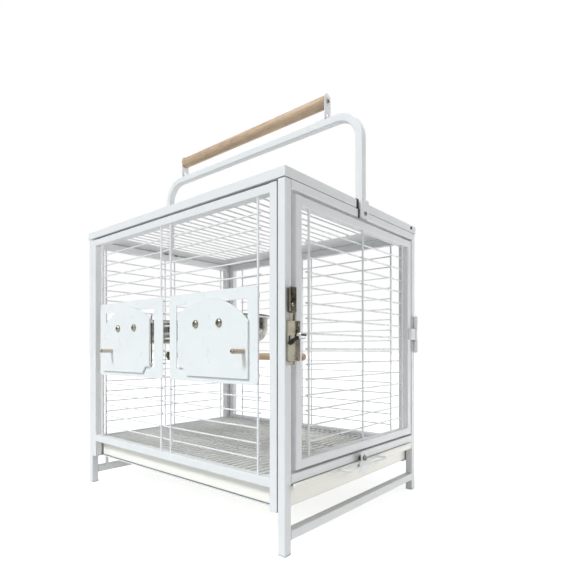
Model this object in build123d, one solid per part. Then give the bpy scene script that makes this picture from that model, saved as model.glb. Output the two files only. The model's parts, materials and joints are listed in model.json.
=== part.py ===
from build123d import *
import os

# Bird travel carrier: a cage of square tube and welded wire with a front door, two swing-out
# feeders on the left side, a lift-out grate, a pull-out tray, a carrying handle and two perches.
# Millimetres. The values below are in the cage's own coordinates: X = 0 is the outside of the left
# (feeder) side, Y = 0 the outside of the front (door) side, and Z = 0 the floor under the feet.
# place() moves every piece to the row frame, whose origin is the middle of the whole box's base.

# ---- driving dimensions --------------------------------------------------------------------
width = 380.0             # over the posts, left to right
length = 517.0            # over the posts, front to back
post_top = 484.2
tube = 12.7               # square tube, outside
tube_wall = 1.0
tube_corner = 1.3
upright_wire = 3.2        # diameters of the two wire gauges
bar_wire = 2.4
joint_gap = 0.3           # between pieces that slide or turn past each other

# ---- frame heights -------------------------------------------------------------------------
foot_cap = 3.0
plug_height = 7.0
stretcher_low = 18.3
back_stretcher_low = 18.5
front_rail_low = 90.7
back_rail_low = 78.0
side_rail_low = 83.7
panel_top = 481.1         # top of the side and back panels, just under the roof
panel_foot = 54.0         # lower ends of the panel stiles
panel_seam = 1.6          # between the front posts and the side panels
post_gap = 1.2            # between the front posts and the roof
wire_bottom = 117.0       # lowest bar of the side and back panels
bar_pitch = 20.67
bar_count = 17
wire_setback = 0.2        # from the outside of a panel to its upright wires
end_upright = 49.0        # from a panel's outside end to its first upright
middle_half_gap = 13.0    # half the gap between the two middle uprights
back_end_upright = 34.5

# ---- roof ----------------------------------------------------------------------------------
roof_sheet = 1.2
roof_overhang = 1.3
roof_rim_top = 497.0
window_left = 47.0
window_right = 310.0
window_front = 66.0
window_back = 462.0
roof_bar_first = 85.5
roof_bar_pitch = 20.4
roof_bar_count = 19
roof_bar_lap = 4.0
rim_screw = (361.2, 492.0)   # X and Z of the screw in the front rim
rim_screw_head = 3.0      # radius
rim_screw_shank = 1.5     # radius
rim_screw_length = 5.0    # of the shank, behind the rim's outer face
notch_side = 11.0         # of the rim's notch beyond the pad's side of each handle bracket
notch_far = 2.0           # and beyond the bracket's other side

# ---- handle and top perch ------------------------------------------------------------------
handle_top = 651.0
handle_bend = 50.0        # outside radius
handle_proud = 2.0        # in front of the posts
bracket_width = 21.5
bracket_low = 470.3
bracket_high = 500.7
bracket_corner = 3.0
bracket_sheet = 1.5
bracket_face = -4.3
bracket_wrap = 6.0        # how far its flanges run back beside the handle
pad_width = 7.1           # of the rubber pad in the rim's notch
pad_depth = 4.0
pad_top = 498.5
pad_strip = 4.0           # width of its strip down the rail
pad_sheet = 0.6
bracket_screw = 478.6
bracket_screw_head = 3.8  # radius
perch_radius = 10.5
perch_height = 682.0
strap_front = 68.0        # outside faces of the two straps
strap_back = 458.0
strap_width = 16.5
strap_top = 694.6
strap_sheet = 1.5
strap_foot = 22.0
strap_screw = 13.0        # from a strap's face to the screw in its foot
slot_low = 5.0            # of the slot in each strap, above the handle
slot_high = 11.2
slot_width = 6.0

# ---- inner perch ---------------------------------------------------------------------------
inner_perch_radius = 6.5
inner_perch_front = 118.0
inner_perch_height = wire_bottom + 6.5 * bar_pitch   # between two bars of the back panel
washer = 1.5
perch_bolt = 3.0          # radius
perch_bolt_hole = 3.1

# ---- front door ----------------------------------------------------------------------------
door_left = 22.0
door_right = 363.5
door_low = 106.6
door_high = 467.0
door_uprights = (53.0, 194.5, 333.0)
door_bar_first = 139.2
door_bar_pitch = 20.95
door_bar_count = 15
door_wire_setback = 1.4
hinge_low = 260.0
hinge_high = 326.0
hinge_x = 375.6
hinge_y = -3.9
hinge_pin = 1.5           # radius
pin_clearance = 0.08      # round each hinge pin, on the radius
hinge_barrel = 3.7        # radius

# ---- door latch ----------------------------------------------------------------------------
case_left = 3.0
case_right = 14.5
case_front = -13.7
case_low = 249.7
case_high = 300.3
bolt_left = 4.6
bolt_right = 8.6
bolt_front = -9.0
bolt_back = -3.0
bolt_low = 244.0
bolt_high = 311.3
latch_travel = 7.0
lever_radius = 2.3
lever_height = 272.5
lever_y = -6.0
lever_rise = 5.0
knob_radius = 4.0
knob_length = 12.4
knob_edge = 1.2           # radius of the rounding at the knob's ends
knob_centre = (8.8, -19.8, 281.5)
case_screws = (255.0, 295.5)
lever_gap = 1.0           # between the lever and the case
keeper_low = 311.6
keeper_high = 343.0
keeper_left = -2.2        # of its front plate
keeper_right = 10.2
keeper_front = -10.6
keeper_sheet = 1.2
keeper_back_left = 3.7    # of its back plate
keeper_foot_right = 18.5  # of the foot in the gap between the post and the door
keeper_foot_back = 5.0
keeper_rivet = (3.2, 321.0)

# ---- floor: grate, tray and tray latch --------------------------------------------------------
grate_frame_wire = 4.0
grate_margin = 16.0       # from the panels' outside to the grate's frame wire
grate_pitch = 12.7
grate_rest = 85.4         # top of the ledges that carry the grate
ledge_width = 8.0
ledge_sheet = 1.2
tray_side = 14.5
tray_front = 11.0
tray_back = 493.0
tray_low = 55.2
tray_high = 83.5
tray_sheet = 1.0
tray_corner = 7.0         # radius of the upright corners
tray_bend = 4.0           # radius of the bottom edges
tray_lip_top = 88.4       # under the front rail
tray_lip_left = 15.0
tray_lip_right = 358.0
bead_front = -5.1         # the rolled bead along the lip, in front of the rail
bead_back = -0.6
bead_low = 86.8
bead_high = 91.3
bead_bend = 1.6
skirt_front = -3.2        # the sheet that hangs from the bead
skirt_low = 80.4
runner_width = 13.3
pull_left = 120.0
pull_right = 229.0
pull_front = -21.7
pull_wire = 4.0
tab_x = 180.5
tab_width = 16.5
tab_low = 91.8
tab_high = 106.0
tab_back = -6.8
tab_sheet = 1.4
tab_screw = 95.5
tab_travel = 5.0
catch_width = 19.0
catch_low = 72.5
catch_corner = 4.0
stop_x = 27.0
stop_width = 6.0

# ---- feeders -----------------------------------------------------------------------------------
plate_sheet = 1.2
plate_low = 216.0
plate_high = 350.5
plate_corner = 6.0
hook_heights = (226.0, 333.5)   # clips around the upright wires
hook_height = 6.0
hatch_low = 235.0         # the opening in each feeder plate
hatch_high = 333.5
cover_width = 156.0
cover_low = 224.0
cover_edge = 0.5          # radius of its pressed edge
cover_shoulder = 317.0    # top corner at the hinge side
cover_far_shoulder = 303.0
cover_crown = 339.0
cover_step = 235.4        # height of the step at the hinge side
cover_step_width = 13.0
cover_slope_width = 20.5
cover_back = -1.4
cover_depth = 2.8
cover_sheet = 1.2
cover_pin = 1.2           # radius
cover_pin_x = 2.0
cover_pin_inset = 2.0     # from the cover's edge to the pin's axis
cover_knuckle = 2.2       # radius
knuckle_low = (236.0, 242.0)    # from and to, of the two knuckles behind the cover
knuckle_high = (309.5, 315.5)
lug_reach = 5.0           # inwards from the plate
lug_sheet = 1.5
lug_lap = 6.0             # over the plate's border
lug_low = 232.0           # lower faces of the two lugs
lug_high = 321.8
screw_height = 302.5
screw_half_gap = 26.5
screw_head = 6.5          # radius
cup_x = 58.0
cup_radius = 46.6
cup_rim_radius = 49.8
cup_low = 275.0
cup_high = 317.6
cup_bottom_radius = 22.0
cup_sheet = 0.8
ring_wire = 3.0
ring_radius = 48.6        # to the middle of the wire
ring_height = 314.3
feeder_knob_height = 262.0
feeder_knob_radius = 3.5
feeder_knob_length = 20.5
feeder_knob_screw = 2.5
# each feeder: plate ends, opening ends, the cover's hinge edge, the knob, and the side that the
# cover runs to from its hinge (-1 towards the front, +1 towards the back)
feeders = {
    "front": {"plate": (47.0, 244.0), "hatch": (66.0, 226.0), "edge": 219.0,
              "cup": 147.5, "knob": 71.0, "side": -1},
    "rear": {"plate": (263.0, 470.0), "hatch": (288.5, 449.0), "edge": 298.5,
             "cup": 372.0, "knob": 420.5, "side": 1},
}

# ---- worked out from the above ------------------------------------------------------------
middle_x = width / 2
middle_y = length / 2
inside_right = width - tube
inside_back = length - tube
handle_axis_front = tube / 2 - handle_proud
handle_axis_back = length - handle_axis_front
low_x = cover_back - cover_depth - feeder_knob_length - feeder_knob_screw
high_x = width + roof_overhang
low_y = knob_centre[1] - knob_radius
bolt_end = length + 10.0  # of the inner perch's bolt, behind the back panel
row_origin = ((low_x + high_x) / 2, (low_y + bolt_end) / 2)


def place(shape):
    """From cage coordinates to the row frame."""
    return Pos(-row_origin[0], -row_origin[1], 0) * shape


def save(name, *shapes):
    """One STEP for one node, with each piece as its own solid."""
    solids = [place(solid) for shape in shapes for solid in shape.solids()]
    export_step(Compound(children=solids), f"parts/{name}.step")


def block(x, y, z):
    """A box from three (low, high) pairs."""
    size = Box(x[1] - x[0], y[1] - y[0], z[1] - z[0])
    return Pos((x[0] + x[1]) / 2, (y[0] + y[1]) / 2, (z[0] + z[1]) / 2) * size


def lying(axis, start, others):
    """The place of a shape that is made along +Z from 0, laid along an axis from start."""
    if axis == "x":
        return Pos(start, others[0], others[1]) * Rot(0, 90, 0)
    if axis == "y":
        return Pos(others[0], start, others[1]) * Rot(-90, 0, 0)
    return Pos(others[0], others[1], start)


def rod(axis, start, end, others, radius):
    """A round rod along an axis; others are its two other coordinates in X, Y, Z order."""
    bar = Cylinder(radius, end - start, align=(Align.CENTER, Align.CENTER, Align.MIN))
    return lying(axis, start, others) * bar


def pipe(axis, start, end, others, outer, inner):
    """A round sleeve along an axis."""
    return rod(axis, start, end, others, outer) - rod(axis, start, end, others, inner)


def tube_section():
    """The hollow section of the square tube."""
    hollow = tube - 2 * tube_wall
    return RectangleRounded(tube, tube, tube_corner) - RectangleRounded(hollow, hollow, tube_corner - 0.5)


def square_tube(axis, start, end, others):
    """A length of square tube along an axis."""
    return lying(axis, start, others) * extrude(tube_section(), end - start)


def welded_frame(axis, along, across, z, levels):
    """Two upright stiles with rails between them, whose ends are shaped to the stiles' corners.

    along is the middle of each stile on the rails' axis, and across their other coordinate."""
    spots = [(at, across) if axis == "x" else (across, at) for at in along]
    stiles = [square_tube("z", z[0], z[1], spot) for spot in spots]
    filled = [Pos(*spot, z[0]) * extrude(RectangleRounded(tube, tube, tube_corner), z[1] - z[0])
              for spot in spots]
    start = along[0] + tube / 2 - tube_corner
    end = along[1] - tube / 2 + tube_corner
    rails = []
    for low in levels:
        rail = square_tube(axis, start, end, (across, low + tube / 2))
        rails.append(rail - filled[0] - filled[1])
    return stiles + rails


def bars(axis, start, end, fixed, heights, radius):
    """Level wires, one at each height; fixed is the coordinate across the panel."""
    return [rod(axis, start, end, (fixed, height), radius) for height in heights]


def panel_heights():
    return [wire_bottom + bar_pitch * i for i in range(bar_count)]


# ---- frame -----------------------------------------------------------------------------------
def front_frame():
    """Two posts to the floor, with a top rail, a bottom rail and a stretcher between them."""
    half = tube / 2
    top = post_top - post_gap
    posts = [square_tube("z", foot_cap, top, (x, half)) for x in (half, width - half)]
    levels = (stretcher_low, front_rail_low, post_top - tube)
    rails = [square_tube("x", tube, inside_right, (half, low + half)) for low in levels]
    save("front_frame", *posts, *rails)


def back_posts():
    """The two back posts and the stretcher between them."""
    half = tube / 2
    y = length - half
    posts = [square_tube("z", foot_cap, post_top, (x, y)) for x in (half, width - half)]
    stretcher = square_tube("x", tube, inside_right, (y, back_stretcher_low + half))
    save("back_posts", *posts, stretcher)


def back_panel_frame():
    """Two stiles inside the back posts, with a rail at the top and one beside the grate."""
    along = (1.5 * tube, width - 1.5 * tube)
    levels = (back_rail_low, panel_top - tube)
    frame = welded_frame("x", along, length - tube / 2, (panel_foot, panel_top), levels)
    save("back_panel_frame", *frame)


def side_frame(name, x):
    """A side panel's two stiles and two rails, between the front and back posts."""
    along = (1.5 * tube + panel_seam, length - 1.5 * tube)
    levels = (side_rail_low, panel_top - tube)
    save(name, *welded_frame("y", along, x, (panel_foot, panel_top), levels))


def foot_caps():
    """A plug in the foot of each post, with the cap that the cage stands on."""
    half = tube / 2
    plug = tube - 2 * tube_wall - 0.2
    caps = []
    for x in (half, width - half):
        for y in (half, length - half):
            cap = extrude(RectangleRounded(tube, tube, tube_corner), foot_cap)
            stem = Pos(0, 0, foot_cap) * extrude(RectangleRounded(plug, plug, tube_corner), plug_height)
            caps.append(Pos(x, y, 0) * (cap + stem))
    save("foot_caps", *caps)


# ---- wire panels -------------------------------------------------------------------------------
def side_upright_places():
    """Upright wires of a side panel: one near each end and two in the middle."""
    return (end_upright, middle_y - middle_half_gap, middle_y + middle_half_gap, length - end_upright)


def side_uprights(x):
    low = side_rail_low + tube
    high = panel_top - tube
    return [rod("z", low, high, (x, y), upright_wire / 2) for y in side_upright_places()]


def left_wires():
    """The left panel's wires, with its bars left out where the feeder plates hang."""
    overhang = upright_wire / 2 + 1.0
    upright_x = wire_setback + upright_wire / 2
    bar_x = wire_setback + upright_wire + bar_wire / 2
    full = [z for z in panel_heights() if z < plate_low or z > plate_high]
    short = [z for z in panel_heights() if plate_low < z < plate_high]
    low_y_end = end_upright - overhang
    middle_low = middle_y - middle_half_gap - overhang
    middle_high = middle_y + middle_half_gap + overhang
    long_bars = bars("y", low_y_end, length - low_y_end, bar_x, full, bar_wire / 2)
    short_bars = bars("y", middle_low, middle_high, bar_x, short, bar_wire / 2)
    save("left_wires", *side_uprights(upright_x), *long_bars, *short_bars)


def right_wires():
    """The right panel's wires, unbroken from end to end."""
    upright_x = width - wire_setback - upright_wire / 2
    bar_x = width - wire_setback - upright_wire - bar_wire / 2
    low = end_upright - upright_wire / 2 - 1.0
    level = bars("y", low, length - low, bar_x, panel_heights(), bar_wire / 2)
    save("right_wires", *side_uprights(upright_x), *level)


def back_wires():
    """The back panel's wires; the inner perch is bolted between its middle uprights."""
    upright_y = length - wire_setback - upright_wire / 2
    bar_y = upright_y - upright_wire / 2 - bar_wire / 2
    places = (back_end_upright, middle_x - middle_half_gap, middle_x + middle_half_gap,
              width - back_end_upright)
    low = back_rail_low + tube
    uprights = [rod("z", low, panel_top - tube, (x, upright_y), upright_wire / 2) for x in places]
    start = back_end_upright - upright_wire / 2 - 1.0
    level = bars("x", start, width - start, bar_y, panel_heights(), bar_wire / 2)
    save("back_wires", *uprights, *level)


# ---- roof ----------------------------------------------------------------------------------------
def roof_tray():
    """A sheet roof with a turned-up rim and a wired window, notched at each handle bracket."""
    low = -roof_overhang
    pan = block((low, width - low), (low, length - low), (post_top, roof_rim_top))
    inner = low + roof_sheet
    pan -= block((inner, width - inner), (inner, length - inner), (post_top + roof_sheet, roof_rim_top + 1))
    pan -= block((window_left, window_right), (window_front, window_back), (post_top - 1, roof_rim_top))
    half = bracket_width / 2
    front_x = (middle_x - half - notch_side, middle_x + half + notch_far)
    back_x = (width - front_x[1], width - front_x[0])
    depth = handle_axis_front + tube / 2 + joint_gap
    pan -= block(front_x, (low - 1, depth), (post_top - 1, roof_rim_top + 1))
    pan -= block(back_x, (length - depth, length - low + 1), (post_top - 1, roof_rim_top + 1))
    pan -= rod("y", low - 1, inner + 1, rim_screw, rim_screw_shank)
    save("roof_tray", pan)
    shank = rod("y", low, low + rim_screw_length, rim_screw, rim_screw_shank)
    save("roof_rim_screw", pan_screw("y", low, -1, rim_screw, rim_screw_head) + shank)


def roof_bars():
    """Wires across the roof window, lying on the sheet."""
    z = post_top + roof_sheet + bar_wire / 2
    start = window_left - roof_bar_lap
    end = window_right + roof_bar_lap
    places = [roof_bar_first + roof_bar_pitch * i for i in range(roof_bar_count)]
    save("roof_bars", *[rod("x", start, end, (y, z), bar_wire / 2) for y in places])


# ---- handle and top perch ------------------------------------------------------------------------
def handle():
    """One bent square tube from the front rail over the roof to the back rail."""
    top = handle_top - tube / 2
    radius = handle_bend - tube / 2
    points = [
        (middle_x, handle_axis_front, post_top),
        (middle_x, handle_axis_front, top),
        (middle_x, handle_axis_back, top),
        (middle_x, handle_axis_back, panel_top),
    ]
    path = FilletPolyline(*points, radius=radius)
    start = Plane(origin=points[0], z_dir=(0, 0, 1))
    save("handle", sweep(start * tube_section(), path=path))


def turned(shape):
    """The same piece at the back of the cage: turned half round about the cage's middle."""
    return Pos(width, length, 0) * Rot(0, 0, 180) * shape


def handle_brackets():
    """A channel clip at each end of the handle, screwed to the handle and the rail."""
    x = (middle_x - bracket_width / 2, middle_x + bracket_width / 2)
    face = block(x, (bracket_face, 0), (bracket_low, bracket_high))
    face = fillet(face.edges().filter_by(Axis.Y), bracket_corner)
    wrap_z = (post_top + joint_gap, bracket_high - bracket_corner)
    clip = face + block(x, (bracket_face, bracket_wrap), wrap_z)
    room_x = (x[0] + bracket_sheet, x[1] - bracket_sheet)
    inner = bracket_face + bracket_sheet
    clip -= block(room_x, (inner, bracket_wrap + 1), (bracket_low - 1, bracket_high + 1))
    save("handle_brackets", clip, turned(clip))


def handle_pads():
    """A rubber pad in the rim's notch beside each bracket, and one between bracket and handle."""
    edge = middle_x - bracket_width / 2
    side = edge - notch_side
    pad = block((side, side + pad_width), (-2 * pad_sheet, pad_depth), (post_top, pad_top))
    pad += block((edge - pad_strip, edge), (-pad_sheet, 0), (bracket_low, post_top))
    pad += block((edge - pad_strip, side + pad_width), (-pad_sheet, 0), (post_top, post_top + 2 * pad_sheet))
    handle_face = handle_axis_front - tube / 2
    half = tube / 2 - tube_corner
    tongue = block((middle_x - half, middle_x + half), (bracket_face + bracket_sheet, handle_face),
                   (post_top, bracket_high + pad_sheet))
    save("handle_pads", pad, tongue, turned(pad), turned(tongue))


def pan_screw(axis, face, outward, others, radius):
    """A low domed screw head on a face; outward is +1 or -1 along the axis."""
    height = radius * 0.55
    head = rod(axis, min(face, face + outward * height), max(face, face + outward * height), others, radius)
    rim = head.edges().filter_by(GeomType.CIRCLE).sort_by(Axis.X if axis == "x" else Axis.Y)
    return fillet(rim[-1] if outward > 0 else rim[0], height * 0.8)


def handle_screws():
    """A screw head on each bracket."""
    at = (middle_x, bracket_screw)
    ends = ((bracket_face, -1), (length - bracket_face, 1))
    save("handle_screws", *[pan_screw("y", face, side, at, bracket_screw_head) for face, side in ends])


def top_perch():
    """The wooden dowel above the handle, between its two straps."""
    at = (middle_x, perch_height)
    dowel = rod("y", strap_front + strap_sheet, strap_back - strap_sheet, at, perch_radius)
    save("top_perch", chamfer(dowel.edges().filter_by(GeomType.CIRCLE), 0.8))


def strap(face, inward):
    """An L-shaped strap: a slotted upright with a round top, and a foot on the handle."""
    radius = strap_width / 2
    ends = sorted((face, face + inward * strap_sheet))
    upright = block((middle_x - radius, middle_x + radius), ends, (handle_top, strap_top - radius))
    upright += rod("y", ends[0], ends[1], (middle_x, strap_top - radius), radius)
    slot_x = (middle_x - slot_width / 2, middle_x + slot_width / 2)
    upright -= block(slot_x, (ends[0] - 1, ends[1] + 1), (handle_top + slot_low, handle_top + slot_high))
    foot_y = sorted((face, face + inward * strap_foot))
    flat = tube / 2 - tube_corner
    foot = block((middle_x - flat, middle_x + flat), foot_y, (handle_top, handle_top + strap_sheet))
    return upright + foot


def top_perch_brackets():
    """The straps that hold the top perch at both ends."""
    save("top_perch_brackets", strap(strap_front, 1), strap(strap_back, -1))


def top_perch_screws():
    """Screws through the straps into the dowel, and through the feet into the handle."""
    at = (middle_x, perch_height)
    heads = [pan_screw("y", strap_front, -1, at, 4.0), pan_screw("y", strap_back, 1, at, 4.0)]
    foot_top = handle_top + strap_sheet
    for y in (strap_front + strap_screw, strap_back - strap_screw):
        heads.append(rod("z", foot_top, foot_top + 1.8, (middle_x, y), 3.4))
    save("top_perch_screws", *heads)


# ---- inner perch -----------------------------------------------------------------------------------
def inner_perch():
    """A dowel that stands out from the back panel, bolted through it with a wing nut."""
    at = (middle_x, inner_perch_height)
    bar_front = length - wire_setback - upright_wire - bar_wire
    bar_back = bar_front + bar_wire
    dowel_end = bar_front - washer
    dowel = rod("y", inner_perch_front, dowel_end, at, inner_perch_radius)
    front_edge = dowel.edges().filter_by(GeomType.CIRCLE).sort_by(Axis.Y)[0]
    save("inner_perch", fillet(front_edge, 2.0))
    inner_washer = pipe("y", dowel_end, bar_front, at, 12.5, perch_bolt_hole)
    outer_washer = pipe("y", bar_back, bar_back + washer, at, 11.0, perch_bolt_hole)
    save("inner_perch_washers", inner_washer, outer_washer)
    save("inner_perch_bolt", rod("y", dowel_end, bolt_end, at, perch_bolt))
    nut_front = bar_back + washer
    wings = rod("y", nut_front, nut_front + 7, at, 5.5)
    for side in (-1, 1):
        wing = extrude(Ellipse(6.0, 4.2), 0.9, both=True)
        wings += Pos(middle_x + side * 8.5, nut_front + 7.0, inner_perch_height) * wing
    wings -= rod("y", nut_front - 1, bolt_end + 1, at, perch_bolt_hole)
    save("inner_perch_wing_nut", wings)


# ---- front door ------------------------------------------------------------------------------------
def door_frame():
    """The door's own frame of two stiles and two rails."""
    half = tube / 2
    levels = (door_low, door_high - tube)
    frame = welded_frame("x", (door_left + half, door_right - half), half, (door_low, door_high), levels)
    save("door_frame", *frame)


def door_wires():
    """Three upright wires between the door's rails, and the bars welded behind them."""
    upright_y = door_wire_setback + upright_wire / 2
    bar_y = door_wire_setback + upright_wire + bar_wire / 2
    low = door_low + tube
    uprights = [rod("z", low, door_high - tube, (x, upright_y), upright_wire / 2) for x in door_uprights]
    overhang = upright_wire / 2 + 1.0
    heights = [door_bar_first + door_bar_pitch * i for i in range(door_bar_count)]
    start = door_uprights[0] - overhang
    end = door_uprights[-1] + overhang
    save("door_wires", *uprights, *bars("x", start, end, bar_y, heights, bar_wire / 2))


def door_hinge():
    """One hinge at mid height: two barrels on the post, and a middle one on the door's strap."""
    third = (hinge_high - hinge_low) / 3
    bore = hinge_pin + pin_clearance
    at = (hinge_x, hinge_y)
    leaf_x = (inside_right + 1.2, width - 0.4)
    barrels = []
    for low in (hinge_low, hinge_high - third):
        leaf = block(leaf_x, (-1.5, 0), (low, low + third))
        barrel = rod("z", low, low + third, at, hinge_barrel)
        web = block((hinge_x - 1.5, hinge_x + 1.5), (hinge_y, -1.5), (low, low + third))
        barrels.append(leaf + barrel + web - rod("z", low - 1, low + third + 1, at, bore))
    save("door_hinge_barrels", *barrels)
    save("door_hinge_pin", rod("z", hinge_low - 1, hinge_high + 1, at, hinge_pin))
    low = hinge_low + third + joint_gap
    high = hinge_high - third - joint_gap
    barrel = rod("z", low, high, at, hinge_barrel - 0.9)
    strap_y = (hinge_y - 0.8, hinge_y + 0.8)
    arm = block((door_right - 8, hinge_x), strap_y, (low, high))
    pad = block((door_right - 8, door_right - 1), (strap_y[1], 0), (low, high))
    save("door_hinge_strap", barrel + arm + pad - rod("z", low - 1, high + 1, at, bore))


# ---- door latch -------------------------------------------------------------------------------------
def latch_case():
    """The latch's case on the front left post, open above and below for its bolt."""
    case = block((case_left, case_right), (case_front, 0), (case_low, case_high))
    case = fillet(case.edges().filter_by(Axis.Z).sort_by(Axis.Y)[:2], 1.5)
    gap = joint_gap
    case -= block((bolt_left - gap, bolt_right + gap), (bolt_front - gap, bolt_back + gap),
                  (case_low - 1, case_high + 1))
    slot_half = lever_radius + gap
    slot_z = (lever_height - slot_half, lever_height + latch_travel + slot_half)
    slot = block((case_left - 1, bolt_left), (lever_y - slot_half, lever_y + slot_half), slot_z)
    case -= fillet(slot.edges().filter_by(Axis.X), slot_half - 0.1)
    save("latch_case", case)
    x = (bolt_right + case_right) / 2
    save("latch_screws", *[pan_screw("y", case_front, -1, (x, z), 1.9) for z in case_screws])


def latch_bolt():
    """The sliding bolt, its cranked lever and the round knob on the lever's end."""
    bolt = block((bolt_left, bolt_right), (bolt_front, bolt_back), (bolt_low, bolt_high))
    save("latch_bolt", chamfer(bolt.edges().group_by(Axis.Z)[-1], 0.8))
    reach = case_front - lever_radius - lever_gap
    side = case_left - lever_radius - lever_gap
    x, y, z = knob_centre
    points = [
        (bolt_left, lever_y, lever_height),
        (side, lever_y, lever_height),
        (side, reach, lever_height + lever_rise),
        (x, y, z),
    ]
    path = FilletPolyline(*points, radius=1.3 * lever_radius)
    start = Plane(origin=points[0], z_dir=(-1, 0, 0))
    lever = sweep(start * Circle(lever_radius), path=path)
    knob = rod("x", x - knob_length / 2, x + knob_length / 2, (y, z), knob_radius)
    knob = fillet(knob.edges().filter_by(GeomType.CIRCLE), knob_edge)
    save("latch_lever", lever - knob)
    save("latch_knob", knob)


def door_keeper():
    """A loop that the bolt rises into, open below and to the left, on the side of the door's stile."""
    z = (keeper_low, keeper_high)
    rear = bolt_back + 2 * joint_gap
    foot_x = (keeper_foot_right - keeper_sheet, keeper_foot_right)
    back_plate = block((keeper_back_left, foot_x[1]), (rear, rear + keeper_sheet), z)
    foot = block(foot_x, (rear, keeper_foot_back), z)
    foot += block((foot_x[0], door_left), (keeper_foot_back - keeper_sheet, keeper_foot_back), z)
    web = block((keeper_right - keeper_sheet, keeper_right), (keeper_front, rear + keeper_sheet), z)
    front_plate = block((keeper_left, keeper_right), (keeper_front, keeper_front + keeper_sheet), z)
    rivet = pan_screw("y", keeper_front, -1, keeper_rivet, 2.4)
    save("door_keeper", back_plate + foot + web + front_plate, rivet)


# ---- feeders -------------------------------------------------------------------------------------------
def cover_pin_y(feeder):
    """Where the cover's hinge pin stands, just inside its hinge edge."""
    return feeder["edge"] + feeder["side"] * cover_pin_inset


def feeder_plate(name, feeder):
    """The plate that hooks over the upright wires, with the hatch for the cup and the cover's lugs."""
    face = (wire_setback - plate_sheet, wire_setback)
    y = feeder["plate"]
    sheet = block(face, y, (plate_low, plate_high))
    sheet = fillet(sheet.edges().filter_by(Axis.X), plate_corner)
    sheet -= block((face[0] - 1, face[1] + 1), feeder["hatch"], (hatch_low, hatch_high))
    wire_x = wire_setback + upright_wire / 2
    for wire_y in side_upright_places():
        if y[0] - 2 < wire_y < y[1] + 2:
            for z in hook_heights:
                outer = wire_x - face[0]
                clip = pipe("z", z, z + hook_height, (wire_x, wire_y), outer, upright_wire / 2 + 0.1)
                sheet += clip & block((face[0], wire_x + 1), (wire_y - 4, wire_y + 4), (z, z + hook_height))
    pin_y = cover_pin_y(feeder)
    border = feeder["hatch"][1] if feeder["side"] < 0 else feeder["hatch"][0]
    lug_y = sorted((border - feeder["side"] * lug_lap, pin_y + feeder["side"] * (cover_knuckle + 1)))
    for low in (lug_low, lug_high):
        lug_z = (low, low + lug_sheet)
        bore = rod("z", low - 1, low + lug_sheet + 1, (cover_pin_x, pin_y), cover_pin + pin_clearance)
        sheet += block((face[1], face[1] + lug_reach), lug_y, lug_z) - bore
    save(name, sheet)


def cover_outline(feeder, inset):
    """The cover's face in the YZ plane: an arched top, and a step in the lower hinge corner."""
    side = feeder["side"]
    edge = feeder["edge"] + side * inset
    far = feeder["edge"] + side * (cover_width - inset)
    middle = feeder["edge"] + side * cover_width / 2
    low = cover_low + inset
    step = cover_step + inset
    points = [
        (0, edge, cover_shoulder - inset),
        (0, edge, step),
        (0, edge + side * cover_step_width, step),
        (0, edge + side * cover_slope_width, low),
        (0, far, low),
        (0, far, cover_far_shoulder - inset),
    ]
    arch = ThreePointArc(points[-1], (0, middle, cover_crown - inset), points[0])
    return make_face(Polyline(*points) + arch)


def cover(name, feeder):
    """The cover: a shallow pressed pan over the hatch, with two knuckles behind it for the pin."""
    front = cover_back - cover_depth
    outside = Pos(front, 0, 0) * extrude(cover_outline(feeder, 0), cover_depth, dir=(1, 0, 0))
    inside = Pos(front + cover_sheet, 0, 0) * extrude(
        cover_outline(feeder, cover_sheet), cover_depth, dir=(1, 0, 0))
    pan = fillet(outside.edges().group_by(Axis.X)[0], cover_edge) - inside
    at = (cover_pin_x, cover_pin_y(feeder))
    for z in (knuckle_low, knuckle_high):
        web = block((front + cover_sheet, cover_pin_x), (at[1] - 1.0, at[1] + 1.0), z)
        pan += web + rod("z", z[0], z[1], at, cover_knuckle)
    pan -= rod("z", cover_low, cover_crown, at, cover_pin)
    save(name, pan)
    save(f"{name}_pin", rod("z", lug_low - 0.8, lug_high + lug_sheet + 0.8, at, cover_pin))


def cup_holder(prefix, feeder):
    """The wire ring behind the cover that the cup hangs in, and its two screws."""
    middle = feeder["cup"]
    back = cover_back - cover_depth + cover_sheet
    plate = block((back, back + 1.2), (middle - 36, middle + 36), (294.0, 318.0))
    plate = fillet(plate.edges().filter_by(Axis.X), 5.0)
    ring = Pos(cup_x, middle, ring_height) * Torus(ring_radius, ring_wire / 2)
    arm_gap = 15.0
    reach = cup_x - (ring_radius ** 2 - arm_gap ** 2) ** 0.5
    holder = plate + ring
    for y in (middle - arm_gap, middle + arm_gap):
        holder += rod("x", back + 0.6, reach, (y, ring_height), ring_wire / 2)
    save(f"{prefix}_cup_ring", holder)
    face = cover_back - cover_depth
    places = (middle - screw_half_gap, middle + screw_half_gap)
    heads = [pan_screw("x", face, -1, (y, screw_height), screw_head) for y in places]
    save(f"{prefix}_cup_screws", *heads)


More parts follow.
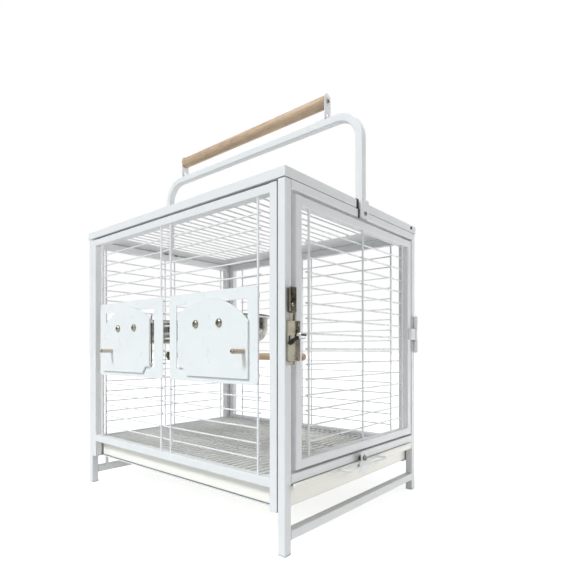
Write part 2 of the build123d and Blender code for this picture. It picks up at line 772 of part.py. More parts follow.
def cup(name, feeder):
    """A pressed steel cup with a flat rim that rests on the ring."""
    flat = cup_radius - cup_bottom_radius
    inner = cup_bottom_radius - cup_sheet
    lean = 0.70711
    turn_z = cup_low + cup_bottom_radius
    profile = Polyline((0, 0, cup_low), (flat, 0, cup_low))
    profile += ThreePointArc((flat, 0, cup_low),
                             (flat + cup_bottom_radius * lean, 0, turn_z - cup_bottom_radius * lean),
                             (cup_radius, 0, turn_z))
    rim_low = ring_height + ring_wire / 2 + 0.2
    profile += Polyline((cup_radius, 0, turn_z), (cup_radius, 0, rim_low), (cup_rim_radius, 0, rim_low),
                        (cup_rim_radius, 0, cup_high), (cup_radius - cup_sheet, 0, cup_high),
                        (cup_radius - cup_sheet, 0, turn_z))
    profile += ThreePointArc((cup_radius - cup_sheet, 0, turn_z),
                             (flat + inner * lean, 0, turn_z - inner * lean),
                             (flat, 0, cup_low + cup_sheet))
    profile += Polyline((flat, 0, cup_low + cup_sheet), (0, 0, cup_low + cup_sheet), (0, 0, cup_low))
    bowl = revolve(make_face(profile), Axis.Z)
    save(name, Pos(cup_x, feeder["cup"], 0) * bowl)


def feeder_knob(prefix, feeder):
    """A short wooden dowel that the cover is pulled by, with its screw head."""
    face = cover_back - cover_depth
    at = (feeder["knob"], feeder_knob_height)
    tip = face - feeder_knob_length
    save(f"{prefix}_knob", rod("x", tip, face, at, feeder_knob_radius))
    save(f"{prefix}_knob_screw", rod("x", tip - feeder_knob_screw, tip, at, feeder_knob_radius - 0.4))


# ---- floor -----------------------------------------------------------------------------------------------
def grate_ledges():
    """A strip along each side rail that the grate lies on."""
    y = (2 * tube, length - 2 * tube)
    z = (grate_rest - ledge_sheet, grate_rest)
    left = block((tube, tube + ledge_width), y, z)
    right = block((inside_right - ledge_width, inside_right), y, z)
    save("grate_ledges", left, right)


def floor_grate():
    """The lift-out grate: a frame wire, two cross wires, and close bars on top."""
    frame_z = grate_rest + grate_frame_wire / 2
    frame_r = grate_frame_wire / 2
    front = grate_margin
    back = length - grate_margin
    sides = [rod("y", front, back, (x, frame_z), frame_r) for x in (grate_margin, width - grate_margin)]
    ends = [rod("x", grate_margin + frame_r, width - grate_margin - frame_r, (y, frame_z), frame_r)
            for y in (front + frame_r, back - frame_r)]
    top = grate_rest + grate_frame_wire
    cross_z = top - upright_wire / 2
    third = (width - 2 * grate_margin) / 3
    cross = [rod("y", front + 2 * frame_r, back - 2 * frame_r, (x, cross_z), upright_wire / 2)
             for x in (grate_margin + third, width - grate_margin - third)]
    save("grate_frame", *sides, *ends, *cross)
    count = int((back - front) / grate_pitch)
    first = middle_y - (count - 1) * grate_pitch / 2
    start = tube + 1.0
    z = top + bar_wire / 2
    places = [first + grate_pitch * i for i in range(count)]
    save("grate_bars", *[rod("x", start, width - start, (y, z), bar_wire / 2) for y in places])


def tray_runners():
    """A strip between the stiles on each side that the tray slides on."""
    y = (tube, inside_back)
    z = (panel_foot, tray_low)
    left = block((tube, tube + runner_width), y, z)
    right = block((inside_right - runner_width, inside_right), y, z)
    save("tray_runners", left, right)


def tray_stops():
    """Two short uprights on the back stretcher that stop the tray."""
    z = (back_stretcher_low + tube / 2, back_rail_low + tube / 2)
    y = (inside_back - 1.5, inside_back)
    places = (stop_x, width - stop_x - stop_width)
    save("tray_stops", *[block((x, x + stop_width), y, z) for x in places])


def tray():
    """The pull-out tray: a pressed pan with a lip across its front, that ends in a bead and a skirt."""
    x = (tray_side, width - tray_side)
    pan = block(x, (tray_front, tray_back), (tray_low, tray_high))
    pan = fillet(pan.edges().filter_by(Axis.Z), tray_corner)
    pan = fillet(pan.edges().group_by(Axis.Z)[0], tray_bend)
    room = block((x[0] + tray_sheet, x[1] - tray_sheet),
                 (tray_front + tray_sheet, tray_back - tray_sheet), (tray_low + tray_sheet, tray_high + 1))
    room = fillet(room.edges().filter_by(Axis.Z), tray_corner - tray_sheet)
    pan -= fillet(room.edges().group_by(Axis.Z)[0], tray_bend - tray_sheet)
    riser_x = (x[0] + tray_corner, tray_lip_right)
    lip_x = (tray_lip_left, tray_lip_right)
    riser = block(riser_x, (tray_front, tray_front + tray_sheet), (tray_high - 1, tray_lip_top))
    lip_z = (tray_lip_top - tray_sheet, tray_lip_top)
    lip = block(lip_x, (bead_back - tray_sheet, tray_front + tray_sheet), lip_z)
    skirt = block(lip_x, (skirt_front, skirt_front + tray_sheet), (skirt_low, bead_low + tray_sheet))
    bead = block(lip_x, (bead_front, bead_back), (bead_low, bead_high))
    bead = fillet(bead.edges().filter_by(Axis.X), bead_bend)
    save("tray", pan + riser + lip + skirt + bead)


def tray_pull():
    """A bent wire handle on the lip's bead, and the plate that the tray's latch drops in front of."""
    z = (bead_low + bead_high) / 2
    points = [(pull_left, bead_front, z), (pull_left, pull_front, z),
              (pull_right, pull_front, z), (pull_right, bead_front, z)]
    path = FilletPolyline(*points, radius=6.0)
    start = Plane(origin=points[0], z_dir=(0, -1, 0))
    save("tray_pull", sweep(start * Circle(pull_wire / 2), path=path))
    x = (tab_x - catch_width / 2, tab_x + catch_width / 2)
    y = (bead_front - tab_sheet, bead_front)
    catch = block(x, y, (catch_low, bead_high))
    save("tray_catch_plate", fillet(catch.edges().filter_by(Axis.Y).group_by(Axis.Z)[0], catch_corner))


def tray_latch():
    """A slotted plate on the front rail that drops in front of the tray's lip, and its screw."""
    x = (tab_x - tab_width / 2, tab_x + tab_width / 2)
    plate = block(x, (tab_back - tab_sheet, tab_back), (tab_low, tab_high))
    plate = fillet(plate.edges().filter_by(Axis.Y), 2.0)
    slot_r = 2.3
    y = (tab_back - tab_sheet - 1, tab_back + 1)
    plate -= rod("y", y[0], y[1], (tab_x, tab_screw), slot_r)
    plate -= rod("y", y[0], y[1], (tab_x, tab_screw + tab_travel), slot_r)
    plate -= block((tab_x - slot_r, tab_x + slot_r), y, (tab_screw, tab_screw + tab_travel))
    save("tray_latch_plate", plate)
    head_back = tab_back - tab_sheet - joint_gap
    collar = rod("y", tab_back + joint_gap, 0, (tab_x, tab_screw), 3.4)
    shank = rod("y", head_back, 0, (tab_x, tab_screw), slot_r - 0.3)
    head = rod("y", head_back - 1.8, head_back, (tab_x, tab_screw), 4.0)
    save("tray_latch_screw", collar + shank + head)


def main():
    os.makedirs("parts", exist_ok=True)
    front_frame()
    back_posts()
    back_panel_frame()
    side_frame("left_frame", tube / 2)
    side_frame("right_frame", width - tube / 2)
    foot_caps()
    left_wires()
    right_wires()
    back_wires()
    roof_tray()
    roof_bars()
    handle()
    handle_brackets()
    handle_pads()
    handle_screws()
    top_perch()
    top_perch_brackets()
    top_perch_screws()
    inner_perch()
    door_frame()
    door_wires()
    door_hinge()
    latch_case()
    latch_bolt()
    door_keeper()
    for prefix, feeder in feeders.items():
        feeder_plate(f"{prefix}_feeder_plate", feeder)
        cover(f"{prefix}_cover", feeder)
        cup_holder(prefix, feeder)
        cup(f"{prefix}_cup", feeder)
        feeder_knob(prefix, feeder)
    grate_ledges()
    floor_grate()
    tray_runners()
    tray_stops()
    tray()
    tray_pull()
    tray_latch()


main()
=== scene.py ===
import json
import math
import random

import bmesh
import bpy

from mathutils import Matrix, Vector

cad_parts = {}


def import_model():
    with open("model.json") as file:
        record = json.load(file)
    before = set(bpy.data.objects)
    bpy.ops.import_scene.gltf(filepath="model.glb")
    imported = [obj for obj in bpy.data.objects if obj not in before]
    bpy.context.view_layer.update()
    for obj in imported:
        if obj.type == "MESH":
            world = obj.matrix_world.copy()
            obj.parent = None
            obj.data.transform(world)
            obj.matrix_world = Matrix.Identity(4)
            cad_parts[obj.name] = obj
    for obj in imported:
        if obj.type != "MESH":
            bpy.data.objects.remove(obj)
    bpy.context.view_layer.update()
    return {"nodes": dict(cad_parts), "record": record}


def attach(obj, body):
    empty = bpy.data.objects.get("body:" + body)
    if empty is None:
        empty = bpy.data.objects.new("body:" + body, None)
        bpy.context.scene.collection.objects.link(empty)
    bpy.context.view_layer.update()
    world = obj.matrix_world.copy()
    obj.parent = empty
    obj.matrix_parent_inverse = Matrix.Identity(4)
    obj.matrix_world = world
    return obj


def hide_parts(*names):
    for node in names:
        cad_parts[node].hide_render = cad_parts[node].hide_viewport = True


# The camera, in the row frame, in metres. It is level, and looks between +X and +Y.
CAMERA_PLACE = (-0.60985, -0.6225, 0.2636)
CAMERA_HEADING = (0.7615, 0.6481, 0.0)
CAMERA_LENS = 28.32
CAMERA_SHIFT = 0.1108      # the horizon is this share of the frame below its middle

X, Y, Z = range(3)


# ---- shader helpers --------------------------------------------------------------------------
class Shader:
    """A material's nodes, with short calls for the ones that every finish here is made of."""

    def __init__(self, name, color, roughness, metallic=0.0):
        self.material = bpy.data.materials.new(name)
        self.material.use_nodes = True
        self.tree = self.material.node_tree
        self.surface = self.tree.nodes["Principled BSDF"]
        self.surface.inputs["Base Color"].default_value = (*color, 1)
        self.surface.inputs["Roughness"].default_value = roughness
        self.surface.inputs["Metallic"].default_value = metallic
        self.place = self.node("ShaderNodeTexCoord").outputs["Object"]
        self.normal = None

    def node(self, kind, **settings):
        made = self.tree.nodes.new(kind)
        for key, value in settings.items():
            setattr(made, key, value)
        return made

    def link(self, out, into):
        self.tree.links.new(out, into)

    def scaled(self, scale):
        """The object's coordinates, stretched by a different factor along each axis."""
        made = self.node("ShaderNodeMapping")
        made.inputs["Scale"].default_value = scale
        self.link(self.place, made.inputs["Vector"])
        return made.outputs["Vector"]

    def noise(self, scale, detail=3.0, place=None, roughness=0.55):
        made = self.node("ShaderNodeTexNoise")
        made.inputs["Scale"].default_value = scale
        made.inputs["Detail"].default_value = detail
        made.inputs["Roughness"].default_value = roughness
        self.link(place or self.place, made.inputs["Vector"])
        return made.outputs["Fac"]

    def voronoi(self, scale):
        made = self.node("ShaderNodeTexVoronoi", feature="F1")
        made.inputs["Scale"].default_value = scale
        self.link(self.place, made.inputs["Vector"])
        return made.outputs["Distance"]

    def spread(self, fac, low, high, start=0.0, end=1.0):
        """fac, from start..end onto low..high."""
        made = self.node("ShaderNodeMapRange")
        for key, value in (("From Min", start), ("From Max", end), ("To Min", low), ("To Max", high)):
            made.inputs[key].default_value = value
        self.link(fac, made.inputs["Value"])
        return made.outputs["Result"]

    def ramp(self, fac, *stops):
        """A colour ramp of (place, colour) stops."""
        made = self.node("ShaderNodeValToRGB")
        points = made.color_ramp.elements
        while len(points) < len(stops):
            points.new(0.5)
        for point, (place, color) in zip(points, stops):
            point.position = place
            point.color = (*color, 1)
        self.link(fac, made.inputs["Fac"])
        return made.outputs["Color"]

    def mix(self, fac, first, second, blend="MIX"):
        made = self.node("ShaderNodeMix", data_type="RGBA", blend_type=blend)
        for value, key in ((fac, 0), (first, 6), (second, 7)):
            if isinstance(value, bpy.types.NodeSocket):
                self.link(value, made.inputs[key])
            else:
                made.inputs[key].default_value = value if key == 0 else (*value, 1)
        return made.outputs[2]

    def shaded(self, tone, share):
        """tone, times a grey share from 0 to 1."""
        return self.mix(1.0, tone, self.ramp(share, (0.0, (0, 0, 0)), (1.0, (1, 1, 1))), "MULTIPLY")

    def color(self, out):
        self.link(out, self.surface.inputs["Base Color"])

    def roughness(self, out):
        self.link(out, self.surface.inputs["Roughness"])

    def bump(self, height, strength, distance):
        """Adds a layer of relief on top of those already there."""
        made = self.node("ShaderNodeBump")
        made.inputs["Strength"].default_value = strength
        made.inputs["Distance"].default_value = distance
        self.link(height, made.inputs["Height"])
        if self.normal:
            self.link(self.normal, made.inputs["Normal"])
        self.normal = made.outputs["Normal"]
        self.link(self.normal, self.surface.inputs["Normal"])

    def soft_edges(self, radius):
        """Rounds the edges that the light catches, without touching the mesh."""
        made = self.node("ShaderNodeBevel", samples=4)
        made.inputs["Radius"].default_value = radius
        self.normal = made.outputs["Normal"]
        self.link(self.normal, self.surface.inputs["Normal"])

    def crevices(self, distance):
        """1 on open surfaces, and less towards corners and joints."""
        made = self.node("ShaderNodeAmbientOcclusion", samples=6)
        made.inputs["Distance"].default_value = distance
        return made.outputs["AO"]


# ---- finishes ----------------------------------------------------------------------------------
def powder_coat(name, color, roughness, peel, edge=0.5):
    """White powder coat: orange peel, uneven gloss, and painted shade in the joints and seams.

    edge is how open a place can be and still take painted seam shade: 0.5 is inside a corner, and 1 a flat
    face.
    """
    s = Shader(name, color, roughness)
    s.soft_edges(0.0005)
    clouds = s.spread(s.noise(22, 4), 0.965, 1.0, 0.3, 0.7)
    # painted shade: ambient occlusion darkens narrow gaps and joints, and more finely the seams and inside
    # corners
    painted_joint_shade = s.spread(s.crevices(0.01), 0.2, 1.0, 0.06, 0.3)
    painted_seam_shade = s.spread(s.crevices(0.004), 0.2, 1.0, edge - 0.35, edge)
    s.color(s.shaded(s.shaded(s.shaded(color, clouds), painted_joint_shade), painted_seam_shade))
    s.roughness(s.spread(s.noise(60, 2), roughness - 0.05, roughness + 0.08, 0.3, 0.7))
    s.bump(s.noise(900, 2), peel, 0.00008)
    s.bump(s.noise(120, 2), peel, 0.0003)
    return s.material


def gloss_enamel(name, color):
    """The tray's thick enamel: glossy, faintly wavy, with a few specks."""
    s = Shader(name, color, 0.16)
    s.soft_edges(0.0008)
    specks = s.spread(s.voronoi(420), 0.93, 1.0, 0.02, 0.06)
    wash = s.spread(s.noise(9, 3), 0.97, 1.0, 0.3, 0.7)
    # painted shade: ambient occlusion darkens the enamel in its inner corners
    painted_joint_shade = s.spread(s.crevices(0.004), 0.5, 1.0, 0.1, 0.5)
    s.color(s.shaded(s.shaded(s.shaded(color, wash), specks), painted_joint_shade))
    s.roughness(s.spread(s.noise(35, 3), 0.12, 0.26, 0.3, 0.7))
    s.bump(s.noise(45, 2), 0.15, 0.0006)
    s.bump(s.noise(700, 2), 0.06, 0.0001)
    return s.material


def wood(name, light, dark, along):
    """A bare dowel: streaked grain along its length, pores, fine fibres and handling marks."""
    s = Shader(name, light, 0.55)
    grain = tuple(6.0 if axis == along else 110.0 for axis in "xyz")
    fibres = tuple(60.0 if axis == along else 2400.0 for axis in "xyz")
    streaks = s.noise(1.0, 6, s.scaled(grain), 0.6)
    fine = s.noise(1.0, 3, s.scaled(fibres))
    tone = s.ramp(streaks, (0.3, dark), (0.52, light), (0.75, tuple(min(1, 1.12 * c) for c in light)))
    pores = s.spread(fine, 0.74, 1.0, 0.36, 0.52)
    marks = s.spread(s.noise(38, 5), 0.86, 1.0, 0.32, 0.5)
    # painted shade: ambient occlusion darkens the wood where it meets other parts
    painted_joint_shade = s.spread(s.crevices(0.008), 0.5, 1.0, 0.15, 0.7)
    s.color(s.shaded(s.shaded(s.shaded(tone, pores), marks), painted_joint_shade))
    s.roughness(s.spread(streaks, 0.5, 0.72, 0.3, 0.7))
    s.bump(fine, 0.35, 0.0002)
    s.bump(streaks, 0.2, 0.0005)
    return s.material


def metal(name, color, roughness, reach=0.004):
    """Plated or bare steel: brushed one way, dulled by smudges, with painted shade darkening its recesses
    up to a reach.
    """
    s = Shader(name, color, roughness, 1.0)
    s.soft_edges(0.0004)
    brushed = s.noise(1.0, 3, s.scaled((900.0, 900.0, 40.0)))
    smudge = s.noise(70, 4)
    tint = s.spread(smudge, 0.75, 1.05, 0.3, 0.7)
    # painted shade: ambient occlusion darkens the metal in recesses, up to the reach
    painted_recess_shade = s.spread(s.crevices(reach), 0.06, 1.0, 0.25, 0.7)
    s.color(s.shaded(s.shaded(color, tint), painted_recess_shade))
    s.roughness(s.spread(smudge, roughness - 0.06, roughness + 0.12, 0.3, 0.7))
    s.bump(brushed, 0.18, 0.0001)
    return s.material


def spun_steel(name, color):
    """The cups' steel: fine turning lines round the axis, and water marks."""
    s = Shader(name, color, 0.24, 1.0)
    lines = s.noise(1.0, 3, s.scaled((40.0, 40.0, 2600.0)))
    marks = s.noise(55, 5)
    tint = s.spread(marks, 0.8, 1.03, 0.35, 0.65)
    shade = s.spread(s.crevices(0.01), 0.35, 1.0, 0.1, 0.7)
    s.color(s.shaded(s.shaded(color, tint), shade))
    s.roughness(s.spread(marks, 0.16, 0.34, 0.3, 0.7))
    s.bump(lines, 0.22, 0.0001)
    return s.material


def black_oxide(name):
    """Blackened steel: near black, with rubbed greyer patches."""
    s = Shader(name, (0.02, 0.02, 0.02), 0.42)
    s.surface.inputs["Specular IOR Level"].default_value = 0.2
    s.soft_edges(0.0004)
    worn = s.noise(160, 4)
    s.color(s.ramp(worn, (0.42, (0.006, 0.006, 0.006)), (0.78, (0.04, 0.037, 0.034))))
    s.roughness(s.spread(worn, 0.34, 0.55, 0.3, 0.7))
    s.bump(s.noise(1200, 2), 0.2, 0.0001)
    return s.material


def moulded_rubber(name):
    """The handle's pads: dull black rubber with a fine grain and a little chalky dust."""
    s = Shader(name, (0.008, 0.008, 0.009), 0.75)
    s.soft_edges(0.0004)
    dust = s.noise(240, 5)
    s.color(s.ramp(dust, (0.45, (0.006, 0.006, 0.007)), (0.8, (0.03, 0.03, 0.03))))
    s.roughness(s.spread(dust, 0.68, 0.85, 0.3, 0.7))
    s.bump(s.noise(1800, 2), 0.25, 0.0001)
    return s.material


def moulded_plastic(name, color):
    """The foot caps: matt, with a fine spark-eroded grain and scuffs."""
    s = Shader(name, color, 0.5)
    s.soft_edges(0.0006)
    scuffs = s.spread(s.noise(130, 5), 0.86, 1.0, 0.3, 0.6)
    # painted shade: ambient occlusion darkens the cap where it meets other parts
    painted_joint_shade = s.spread(s.crevices(0.008), 0.5, 1.0, 0.12, 0.72)
    s.color(s.shaded(s.shaded(color, scuffs), painted_joint_shade))
    s.roughness(s.spread(s.noise(200, 3), 0.45, 0.62, 0.3, 0.7))
    s.bump(s.noise(2200, 2), 0.25, 0.0001)
    return s.material


def make_finishes():
    """One material for each of the record's material slots."""
    return {
        "white_enamel": powder_coat("white_enamel", (0.84, 0.85, 0.855), 0.36, 0.12),
        "white_sheet": powder_coat("white_sheet", (0.875, 0.9, 0.905), 0.32, 0.07, 0.62),
        "white_wire": powder_coat("white_wire", (0.89, 0.895, 0.9), 0.26, 0.12),
        "tray_enamel": gloss_enamel("tray_enamel", (0.96, 0.945, 0.88)),
        "perch_wood": wood("perch_wood", (0.7, 0.515, 0.355), (0.45, 0.285, 0.175), "y"),
        "knob_wood": wood("knob_wood", (0.74, 0.655, 0.55), (0.5, 0.4, 0.31), "x"),
        "stainless": spun_steel("stainless", (0.4, 0.39, 0.36)),
        "screw_steel": metal("screw_steel", (0.31, 0.285, 0.235), 0.18),
        "latch_nickel": metal("latch_nickel", (0.42, 0.382, 0.305), 0.3, 0.012),
        "knob_chrome": metal("knob_chrome", (0.55, 0.55, 0.545), 0.1),
        "black_steel": black_oxide("black_steel"),
        "black_rubber": moulded_rubber("black_rubber"),
        "foot_plastic": moulded_plastic("foot_plastic", (0.78, 0.785, 0.79)),
    }


def dress(frame, finishes):
    """Gives every CAD node the finish that the record names for it."""
    for part in frame["record"]["subparts"]:
        mesh = frame["nodes"][part["node"]].data
        mesh.materials.clear()
        mesh.materials.append(finishes[part["material_slot"]])


# ---- pieces made here ----------------------------------------------------------------------------
def solids(node):
    """The lowest and highest corner of each separate solid in a CAD node, in a fixed order."""
    shape = bmesh.new()
    shape.from_mesh(node.data)
    bmesh.ops.remove_doubles(shape, verts=shape.verts, dist=1e-6)
    shape.verts.ensure_lookup_table()
    found = []
    done = [False] * len(shape.verts)
    for start in shape.verts:
        if done[start.index]:
            continue
        done[start.index] = True
        waiting = [start]
        places = []
        while waiting:
            vert = waiting.pop()
            places.append(vert.co)
            for edge in vert.link_edges:
                other = edge.other_vert(vert)
                if not done[other.index]:
                    done[other.index] = True
                    waiting.append(other)
        low = Vector([min(place[axis] for place in places) for axis in (X, Y, Z)])
        high = Vector([max(place[axis] for place in places) for axis in (X, Y, Z)])
        found.append((low, high))
    shape.free()
    return found


class Wire:
    """A straight round wire: the axis it lies along, its middle, radius and two ends."""

    def __init__(self, low, high):
        size = high - low
        self.axis = max((X, Y, Z), key=lambda axis: size[axis])
        self.radius = min(size) / 2
        self.middle = (low + high) / 2
        self.ends = (low[self.axis], high[self.axis])

    def reaches(self, place, axis):
        return self.ends[0] < place[axis] < self.ends[1]


def wires(frame, *names):
    return [Wire(*box) for name in names for box in solids(frame["nodes"][name])]


def crossings(first, second):
    """Where two crossing wires touch: the place, the axis from one to the other, the thinner radius."""
    play = 0.0004
    for a in first:
        for b in second:
            if a.axis == b.axis or not a.reaches(b.middle, a.axis) or not b.reaches(a.middle, b.axis):
                continue
            across = 3 - a.axis - b.axis
            apart = b.middle[across] - a.middle[across]
            if abs(apart) > a.radius + b.radius + play:
                continue
            place = a.middle.copy()
            place[a.axis] = b.middle[a.axis]
            place[across] += math.copysign(a.radius, apart)
            yield place, across, min(a.radius, b.radius)


def finish_piece(finishes, name, shape, body, slot, *replaced):
    """Makes an object of a bmesh: it rides on a body, has a slot's finish and stands for CAD nodes."""
    mesh = bpy.data.meshes.new(name)
    bmesh.ops.recalc_face_normals(shape, faces=shape.faces)
    for face in shape.faces:
        face.smooth = True
    shape.to_mesh(mesh)
    shape.free()
    mesh.materials.append(finishes[slot])
    piece = bpy.data.objects.new(name, mesh)
    bpy.context.scene.collection.objects.link(piece)
    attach(piece, body)
    if replaced:
        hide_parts(*replaced)
    return piece


def weld_spot(shape, chance, place, across, radius):
    """The metal squeezed out where two wires are spot welded: a flat, slightly uneven lump."""
    spread = [1.25 * radius * chance.uniform(0.9, 1.12) for axis in (X, Y, Z)]
    spread[across] = 0.62 * radius
    made = bmesh.ops.create_icosphere(shape, subdivisions=2, radius=1.0)
    for vert in made["verts"]:
        swell = 1 + chance.uniform(-0.05, 0.05)
        vert.co = Vector([place[axis] + vert.co[axis] * spread[axis] * swell for axis in (X, Y, Z)])


def end_weld(shape, chance, wire, end, inward):
    """A small collar of weld where a wire meets a rail."""
    steps = 14
    profile = ((1.62, 0.0), (1.45, 0.22), (1.22, 0.5), (1.02, 0.95), (0.9, 0.95), (0.9, 0.0))
    side, up = [axis for axis in (X, Y, Z) if axis != wire.axis]
    rings = []
    for step in range(steps):
        angle = math.tau * step / steps
        uneven = chance.uniform(0.9, 1.1)
        ring = []
        for out, rise in profile:
            reach = wire.radius * (1 + (out - 1) * uneven if out > 1 else out)
            place = wire.middle.copy()
            place[wire.axis] = end + inward * wire.radius * rise * uneven
            place[side] += reach * math.cos(angle)
            place[up] += reach * math.sin(angle)
            ring.append(shape.verts.new(place))
        rings.append(ring)
    for step in range(steps):
        here, there = rings[step], rings[(step + 1) % steps]
        for row in range(len(profile)):
            after = (row + 1) % len(profile)
            shape.faces.new((here[row], here[after], there[after], there[row]))


def wire_welds(finishes, name, body, first, second, rail_ends=True):
    """The weld spots of one wire panel, and the collars where its uprights meet the rails."""
    chance = random.Random(name)
    shape = bmesh.new()
    for place, across, radius in crossings(first, second):
        weld_spot(shape, chance, place, across, radius)
    if rail_ends:
        for wire in (wire for wire in first if wire.axis == Z):
            end_weld(shape, chance, wire, wire.ends[0], 1)
            end_weld(shape, chance, wire, wire.ends[1], -1)
    finish_piece(finishes, name, shape, body, "white_wire")


def make_welds(frame, finishes):
    panels = (("left", "cage"), ("right", "cage"), ("back", "cage"), ("door", "door"))
    for side, body in panels:
        grid = wires(frame, f"{side}_wires")
        wire_welds(finishes, f"{side}_wire_welds", body,
                   [wire for wire in grid if wire.axis == Z], [wire for wire in grid if wire.axis != Z])
    wire_welds(finishes, "grate_welds", "grate", wires(frame, "grate_frame"),
               wires(frame, "grate_bars"), rail_ends=False)


class Head:
    """A screw head: its middle, radius, the axis it looks along, which way, and its face and back."""

    def __init__(self, low, high):
        size = high - low
        gaps = {X: abs(size[Y] - size[Z]), Y: abs(size[X] - size[Z]), Z: abs(size[X] - size[Y])}
        self.axis = min(gaps, key=gaps.get)
        middle = (low + high) / 2
        self.outward = 1 if self.axis == Z or middle[self.axis] > 0 else -1
        self.radius = size[(self.axis + 1) % 3] / 2
        self.middle = middle
        self.back, self.face = (low[self.axis], high[self.axis])[::self.outward]


def cross_recess(x, y):
    """How deep a cross recess is at a place on a head of radius 1, from 0 to 1."""
    half_width, half_length, slope = 0.13, 0.52, 0.07
    level_bar = min(half_width - abs(y), half_length - abs(x))
    upright_bar = min(half_width - abs(x), half_length - abs(y))
    return min(1.0, max(0.0, 0.5 + max(level_bar, upright_bar) / slope))


def screw_head(shape, head, rise, turn):
    """A pan head with a rounded edge and a cross recess, made of rings, the last at its back."""
    steps, rings = 48, 20
    side, up = [axis for axis in (X, Y, Z) if axis != head.axis]
    last = None
    for ring in range(1, rings + 2):
        share = min(1.0, ring / rings)
        row = []
        for step in range(steps):
            angle = math.tau * step / steps
            across, high = share * math.cos(angle), share * math.sin(angle)
            dome = (1 - share ** 3.4) ** 0.62
            sunk = cross_recess(across * math.cos(turn) + high * math.sin(turn),
                                high * math.cos(turn) - across * math.sin(turn))
            place = head.middle.copy()
            place[head.axis] = head.face - head.outward * rise * (1 - dome + 0.62 * sunk * dome)
            if ring > rings:
                place[head.axis] = head.back
            place[side] += head.radius * across
            place[up] += head.radius * high
            row.append(shape.verts.new(place))
        if last is None:
            shape.faces.new(row)
        else:
            for step in range(steps):
                after = (step + 1) % steps
                shape.faces.new((last[step], last[after], row[after], row[step]))
        last = row
    shape.faces.new(last)


def make_screws(frame, finishes):
    """Screw heads with recesses, in place of the plain ones of the CAD nodes."""
    rise_share = 0.55      # of a head's radius, that its dome rises
    kinds = (
        ("handle_screws", "cage", "screw_steel"),
        ("latch_screws", "cage", "latch_nickel"),
        ("roof_rim_screw", "cage", "black_steel"),
        ("top_perch_screws", "cage", "screw_steel"),
        ("front_cup_screws", "front_feeder", "screw_steel"),
        ("rear_cup_screws", "rear_feeder", "screw_steel"),
        ("front_knob_screw", "front_feeder", "screw_steel"),
        ("rear_knob_screw", "rear_feeder", "screw_steel"),
    )
    for node, body, slot in kinds:
        chance = random.Random(node)
        shape = bmesh.new()
        for box in solids(frame["nodes"][node]):
            head = Head(*box)
            rise = min(rise_share * head.radius, box[1][head.axis] - box[0][head.axis])
            screw_head(shape, head, rise, chance.uniform(0, math.pi / 2))
        finish_piece(finishes, node + "_made", shape, body, slot, node)


# ---- room, light and camera ------------------------------------------------------------------------
def camera_world_ray(tree):
    """1 for rays that show the background: straight from the camera, or off or through a surface."""
    path = tree.nodes.new("ShaderNodeLightPath")
    seen = path.outputs["Is Camera Ray"]
    for name in ("Is Glossy Ray", "Is Transmission Ray"):
        either = tree.nodes.new("ShaderNodeMath")
        either.operation = "MAXIMUM"
        tree.links.new(seen, either.inputs[0])
        tree.links.new(path.outputs[name], either.inputs[1])
        seen = either.outputs[0]
    return seen


def make_world():
    world = bpy.data.worlds.new("studio")
    bpy.context.scene.world = world
    world.use_nodes = True
    tree = world.node_tree
    out = tree.nodes["World Output"]
    fill = tree.nodes["Background"]
    fill.inputs["Color"].default_value = (0.97, 0.985, 1.0, 1)
    fill.inputs["Strength"].default_value = 0.2
    white = tree.nodes.new("ShaderNodeBackground")
    white.inputs["Color"].default_value = (1, 1, 1, 1)
    white.inputs["Strength"].default_value = 1.0
    mixed = tree.nodes.new("ShaderNodeMixShader")
    tree.links.new(camera_world_ray(tree), mixed.inputs[0])
    tree.links.new(fill.outputs[0], mixed.inputs[1])
    tree.links.new(white.outputs[0], mixed.inputs[2])
    tree.links.new(mixed.outputs[0], out.inputs["Surface"])


def make_floor():
    """A white floor that still takes the carrier's shadow."""
    mesh = bpy.data.meshes.new("floor")
    side = 30.0
    corners = [(-side, -side, 0), (side, -side, 0), (side, side, 0), (-side, side, 0)]
    mesh.from_pydata(corners, [], [(0, 1, 2, 3)])
    floor = bpy.data.objects.new("floor", mesh)
    bpy.context.scene.collection.objects.link(floor)
    s = Shader("floor", (0.8, 0.8, 0.8), 0.9)
    s.surface.inputs["Specular IOR Level"].default_value = 0.0
    seen = camera_world_ray(s.tree)
    s.color(s.mix(seen, (0.7, 0.7, 0.7), (0.8, 0.8, 0.8)))
    glow = s.node("ShaderNodeEmission")
    lift = s.node("ShaderNodeMath", operation="MULTIPLY")
    lift.inputs[1].default_value = 0.72
    s.link(seen, lift.inputs[0])
    s.link(lift.outputs[0], glow.inputs["Strength"])
    both = s.node("ShaderNodeAddShader")
    s.link(s.surface.outputs[0], both.inputs[0])
    s.link(glow.outputs[0], both.inputs[1])
    s.link(both.outputs[0], s.tree.nodes["Material Output"].inputs["Surface"])
    mesh.materials.append(s.material)


def aimed(name, data, place, target):
    """An object at a place, with its -Z towards a target, that the camera doesn't see."""
    made = bpy.data.objects.new(name, data)
    bpy.context.scene.collection.objects.link(made)
    made.location = place
    made.rotation_mode = "QUATERNION"
    made.rotation_quaternion = (Vector(target) - Vector(place)).to_track_quat("-Z", "Y")
    made.visible_camera = False
    return made


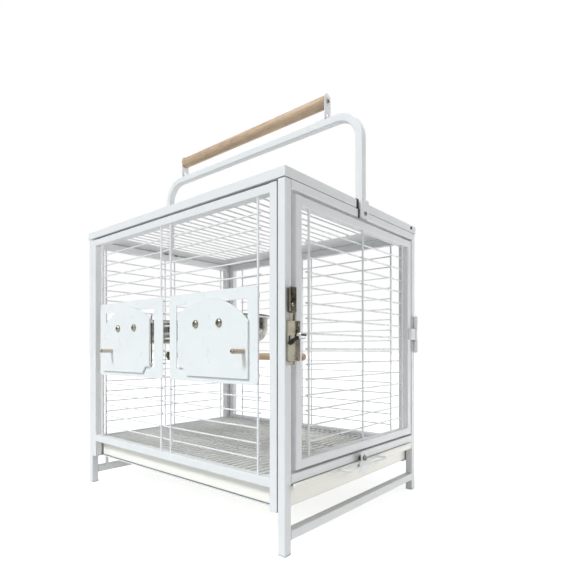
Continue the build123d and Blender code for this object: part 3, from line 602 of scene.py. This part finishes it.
def make_lights():
    """A soft lamp high on the left, a weaker broad one below it, and one low in front on the right."""
    key = bpy.data.lights.new("key", "SUN")
    key.energy = 2.15
    key.angle = math.radians(14)
    key.color = (0.94, 0.985, 1.0)
    aimed("key", key, (-2.2, 0.25, 2.5), (0.0, 0.0, 0.3))
    wash = bpy.data.lights.new("wash", "SUN")
    wash.energy = 0.62
    wash.angle = math.radians(60)
    wash.color = (0.96, 0.985, 1.0)
    aimed("wash", wash, (-1.0, -0.5, 0.75), (0.0, 0.0, 0.3))
    front = bpy.data.lights.new("front", "AREA")
    front.shape = "RECTANGLE"
    front.size, front.size_y = 1.0, 0.8
    front.energy = 38.0
    front.color = (1.0, 0.985, 0.97)
    aimed("front", front, (1.7, -1.35, 0.1), (0.1, -0.25, 0.1)).visible_glossy = False


def make_dark_cards():
    """Dark cards left and right of the camera, that only metal and gloss show, so they don't look flat."""
    s = Shader("dark_card", (0.02, 0.02, 0.02), 1.0)
    s.surface.inputs["Specular IOR Level"].default_value = 0.0
    for number, (place, half) in enumerate((((2.05, -2.1, 0.6), 1.5), ((-1.7, -2.0, 0.5), 1.0))):
        mesh = bpy.data.meshes.new(f"dark_card_{number}")
        corners = [(-half, -half, 0), (half, -half, 0), (half, half, 0), (-half, half, 0)]
        mesh.from_pydata(corners, [], [(0, 1, 2, 3)])
        mesh.materials.append(s.material)
        card = aimed(mesh.name, mesh, place, (0.0, 0.0, 0.3))
        card.visible_diffuse = False
        card.visible_shadow = False


def make_camera():
    data = bpy.data.cameras.new("camera")
    data.lens = CAMERA_LENS
    data.sensor_width = 36.0
    data.shift_y = CAMERA_SHIFT
    data.clip_start = 0.01
    camera = bpy.data.objects.new("camera", data)
    bpy.context.scene.collection.objects.link(camera)
    camera.location = CAMERA_PLACE
    camera.rotation_mode = "QUATERNION"
    camera.rotation_quaternion = Vector(CAMERA_HEADING).to_track_quat("-Z", "Y")
    bpy.context.scene.camera = camera


def main():
    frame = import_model()
    finishes = make_finishes()
    dress(frame, finishes)
    make_welds(frame, finishes)
    make_screws(frame, finishes)
    make_world()
    make_floor()
    make_lights()
    make_dark_cards()
    make_camera()
    bpy.context.scene.view_settings.view_transform = "Standard"


main()
